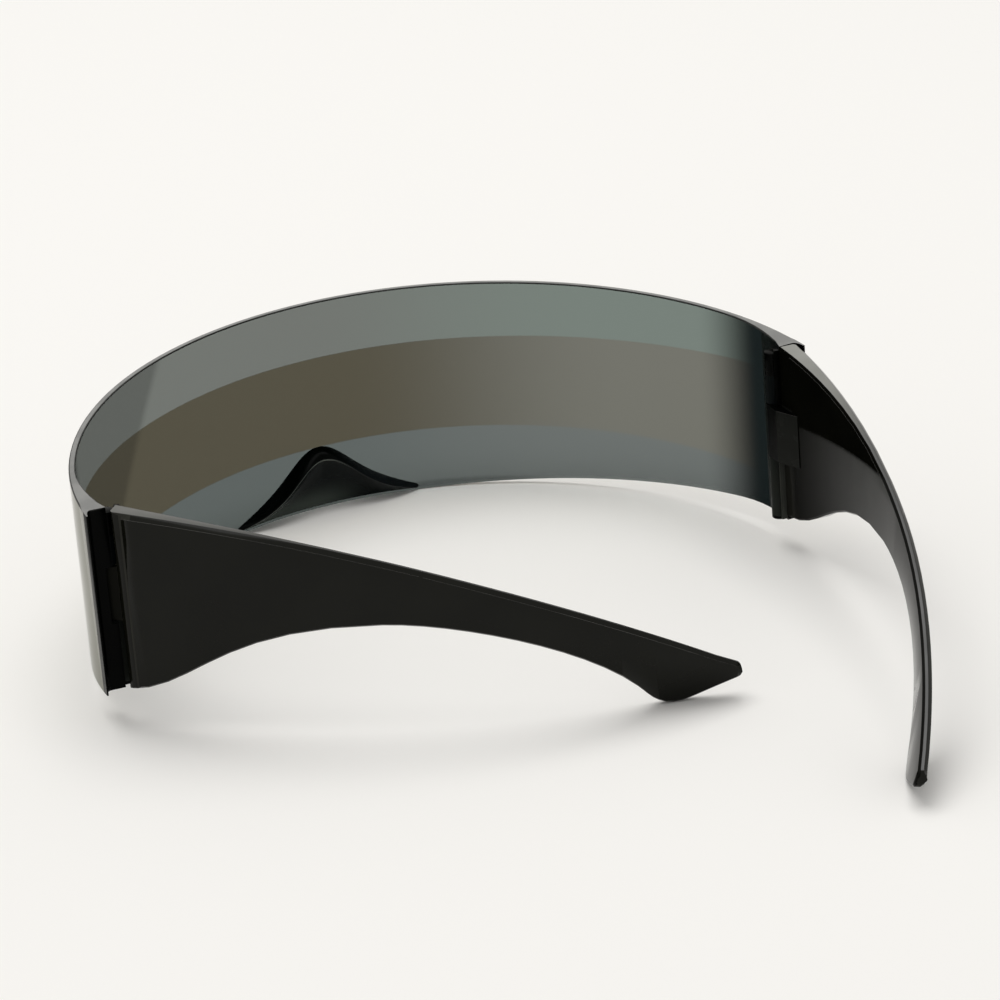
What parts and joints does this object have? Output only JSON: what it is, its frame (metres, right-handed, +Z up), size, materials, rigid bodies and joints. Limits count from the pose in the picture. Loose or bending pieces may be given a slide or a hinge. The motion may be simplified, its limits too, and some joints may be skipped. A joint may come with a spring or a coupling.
{
  "type": "shield sunglasses",
  "caption": "Wrap-round shield sunglasses: one tinted mirror lens, a black nose saddle and curved folding temples on pinned hinges.",
  "frame": {"origin": "middle of the lens's bottom edge, half way through its wall, on the surface that the glasses stand on", "axes": "+Z up, +Y from the lens towards the wearer's ears, +X towards the wearer's left"},
  "size_m": [0.1454, 0.1801, 0.0439],
  "materials": {
    "lens": "smoked tint, mirror coated outside, bronze band across the middle",
    "saddle": "gloss black moulding",
    "temple": "gloss black",
    "pin": "plain"
  },
  "bodies": {
    "front": {"lens": "lens", "nose_saddle": "saddle", "left_hinge_pin": "pin", "right_hinge_pin": "pin"},
    "left_temple": {"left_temple": "temple"},
    "right_temple": {"right_temple": "temple"}
  },
  "joints": [
    {"name": "left_fold", "type": "hinge", "parent": "front", "child": "left_temple", "pos_m": [0.06763, 0.06883, 0], "axis": [0, 0, 1], "range_deg": [-53.3, 31.7]},
    {"name": "right_fold", "type": "hinge", "parent": "front", "child": "right_temple", "pos_m": [-0.06763, 0.06883, 0], "axis": [0, 0, -1], "range_deg": [-6.5, 37]}
  ]
}
